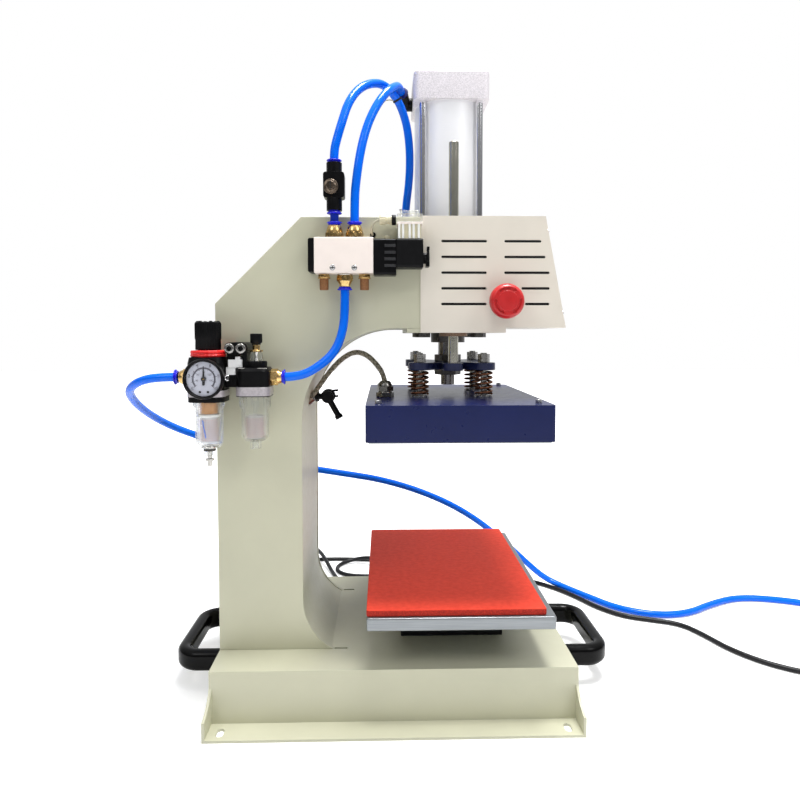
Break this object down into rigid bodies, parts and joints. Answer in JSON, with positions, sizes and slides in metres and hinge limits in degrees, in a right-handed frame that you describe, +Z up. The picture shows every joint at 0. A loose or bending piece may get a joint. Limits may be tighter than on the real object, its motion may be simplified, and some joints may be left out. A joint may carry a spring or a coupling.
{
  "type": "pneumatic heat press",
  "caption": "Bench heat press: C-shaped sheet frame on a flanged base, air cylinder driving a sprung heated platen onto a padded lower platen.",
  "frame": {"origin": "on the floor under the middle of the base", "axes": "+Z up, +X from the column to the open end of the throat, -Y towards the air valve"},
  "size_m": [1.2093, 0.6492, 0.758],
  "materials": {
    "cream_paint": "fine textured powder coat, satin",
    "black_paint": "satin",
    "heater_blue": "satin enamel",
    "black_plastic": "moulded",
    "coil_black": "moulded, with a clear lid",
    "black_rubber": "smooth",
    "aluminium": "machined",
    "cast_aluminium": "bead blasted",
    "anodised_tube": "anodised",
    "bright_steel": "polished and plated",
    "nickel": "nickel plated",
    "gauge_chrome": "polished",
    "bronze": "sintered",
    "brass": "nickel-free, machined",
    "collar_blue": "moulded",
    "hose_blue": "smooth polyurethane",
    "cord_black": "smooth",
    "cable_sleeve": "braided glass fibre",
    "red_silicone": "soft foam silicone, matt",
    "insulation": "compressed wool board",
    "copper_spring": "copper coloured",
    "clear_plastic": "clear moulded",
    "smoke_plastic": "moulded",
    "valve_cream": "anodised cream",
    "stop_red": "moulded",
    "needle_black": "painted",
    "white_plastic": "moulded"
  },
  "bodies": {
    "frame": {"base_shell": "cream_paint", "side_plate_near": "cream_paint", "side_plate_far": "cream_paint", "inner_web": "cream_paint", "outer_skin": "cream_paint", "head_plate": "cream_paint", "head_cover": "cream_paint", "control_panel": "black_plastic", "base_handles": "black_rubber", "platen_stand": "black_paint", "lower_platen": "aluminium", "silicone_mat": "red_silicone", "cylinder_caps": "cast_aluminium", "cylinder_barrel": "anodised_tube", "tie_rods": "bright_steel", "guide_bushes": "bronze", "frame_screws": "bright_steel", "stop_body": "black_plastic", "valve_body": "valve_cream", "valve_end_caps": "black_plastic", "valve_coil": "coil_black", "brass_fittings": "brass", "push_in_collars": "collar_blue", "flow_control": "black_plastic", "frl_bracket": "black_plastic", "regulator_body": "black_plastic", "gauge_case": "gauge_chrome", "filter_bowl": "clear_plastic", "filter_element": "bronze", "lubricator_body": "black_plastic", "lubricator_bowl": "clear_plastic", "wall_fittings": "black_plastic", "hose_a": "hose_blue", "hose_b": "hose_blue", "hose_p": "hose_blue", "supply_hose": "hose_blue", "supply_hose_coil": "hose_blue", "hose_coupler": "brass", "power_cord": "cord_black", "power_cord_coil": "cord_black", "power_plug": "cord_black"},
    "heater": {"heater_cover": "heater_blue", "heater_platen": "aluminium", "heater_element": "insulation", "heater_fasteners": "bright_steel", "cable_gland": "nickel", "springs": "copper_spring", "heater_cable": "cable_sleeve"},
    "ram": {"spider_bracket": "heater_blue", "piston_rod": "bright_steel", "guide_rods": "bright_steel"},
    "stop_stem": {"stop_stem": "black_plastic"},
    "stop_button": {"stop_button": "stop_red"},
    "regulator_knob": {"regulator_knob": "black_plastic"},
    "gauge_needle": {"gauge_needle": "needle_black"},
    "lubricator_knob": {"lubricator_knob": "smoke_plastic"},
    "flow_knob": {"flow_knob": "nickel"},
    "override_button": {"override_button": "valve_cream"},
    "drain_valve": {"drain_valve": "white_plastic"},
    "tap_lever": {"tap_lever": "black_rubber"}
  },
  "joints": [
    {"name": "press_stroke", "type": "slide", "parent": "frame", "child": "heater", "axis": [0, 0, -1], "range_m": [0, 0.1835], "deforming": ["heater_cable"]},
    {"name": "spring_float", "type": "slide", "parent": "heater", "child": "ram", "axis": [0, 0, -1], "range_m": [0, 0.008], "stiffness_N_per_m": 40000, "springref_m": -0.004, "deforming": ["springs"]},
    {"name": "stop_push", "type": "slide", "parent": "frame", "child": "stop_stem", "axis": [0, 1, 0], "range_m": [0, 0.005]},
    {"name": "stop_twist", "type": "hinge", "parent": "stop_stem", "child": "stop_button", "pos_m": [0.128, -0.116, 0.4738], "axis": [0, -1, 0], "range_deg": [-30, 0], "stiffness_Nm_per_rad": 0.02},
    {"name": "regulator_turn", "type": "hinge", "parent": "frame", "child": "regulator_knob", "pos_m": [-0.208, -0.119, 0.434], "axis": [0, 0, 1], "range_deg": [-720, 720]},
    {"name": "gauge_sweep", "type": "hinge", "parent": "frame", "child": "gauge_needle", "pos_m": [-0.2044, -0.1536, 0.3884], "axis": [0, 1, 0], "range_deg": [-135, 135]},
    {"name": "lubricator_turn", "type": "hinge", "parent": "frame", "child": "lubricator_knob", "pos_m": [-0.1545, -0.119, 0.43], "axis": [0, 0, 1], "range_deg": [-540, 540]},
    {"name": "flow_turn", "type": "hinge", "parent": "frame", "child": "flow_knob", "pos_m": [-0.0706, -0.119, 0.601], "axis": [0, -1, 0], "range_deg": [-1080, 1080]},
    {"name": "override_press", "type": "slide", "parent": "frame", "child": "override_button", "axis": [0, 0, -1], "range_m": [0, 0.003], "stiffness_N_per_m": 1500, "springref_m": -0.002},
    {"name": "drain_push", "type": "slide", "parent": "frame", "child": "drain_valve", "axis": [0, 0, 1], "range_m": [0, 0.003], "stiffness_N_per_m": 800, "springref_m": -0.002},
    {"name": "tap_turn", "type": "hinge", "parent": "frame", "child": "tap_lever", "pos_m": [-0.087, 0.021, 0.353], "axis": [0, -1, 0], "range_deg": [0, 90]}
  ]
}
